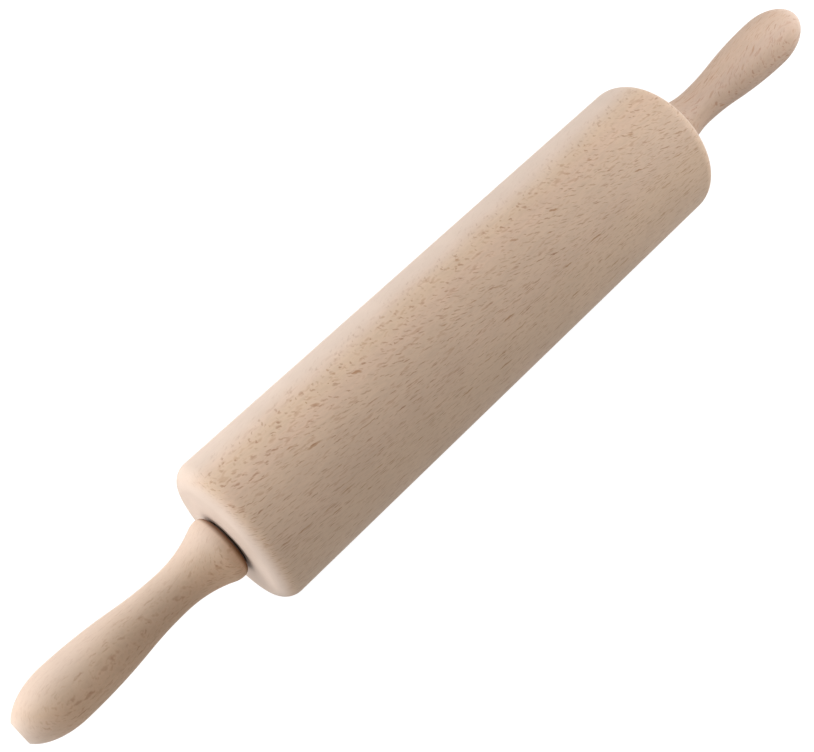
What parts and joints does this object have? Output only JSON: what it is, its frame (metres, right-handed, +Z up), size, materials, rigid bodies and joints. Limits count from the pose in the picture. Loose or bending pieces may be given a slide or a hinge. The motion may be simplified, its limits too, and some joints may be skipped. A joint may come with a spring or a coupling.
{
  "type": "rolling pin with revolving barrel",
  "caption": "Beech rolling pin: a cylindrical barrel with rounded edges revolves on a steel rod between two turned, pear-shaped handles with flared collars.",
  "frame": {"origin": "centre of the barrel, on the roller axis", "axes": "+X along the roller axis from the left handle to the right handle, +Z up when the pin lies on a table"},
  "size_m": [0.441, 0.063, 0.063],
  "materials": {
    "beech_barrel": "unfinished, fine-sanded steamed beech",
    "beech_handle": "unfinished, fine-sanded beech, a little yellower than the barrel",
    "axle_steel": "bright drawn rod",
    "bush_nylon": "moulded natural nylon"
  },
  "bodies": {
    "handle_frame": {"axle_rod": "axle_steel", "left_handle": "beech_handle", "right_handle": "beech_handle", "left_thrust_washer": "bush_nylon", "right_thrust_washer": "bush_nylon"},
    "roller": {"barrel": "beech_barrel", "left_bearing_bush": "bush_nylon", "right_bearing_bush": "bush_nylon"}
  },
  "joints": [
    {"name": "barrel_spin", "type": "hinge", "parent": "handle_frame", "child": "roller", "pos_m": [0, 0, 0], "axis": [1, 0, 0], "continuous": true}
  ]
}
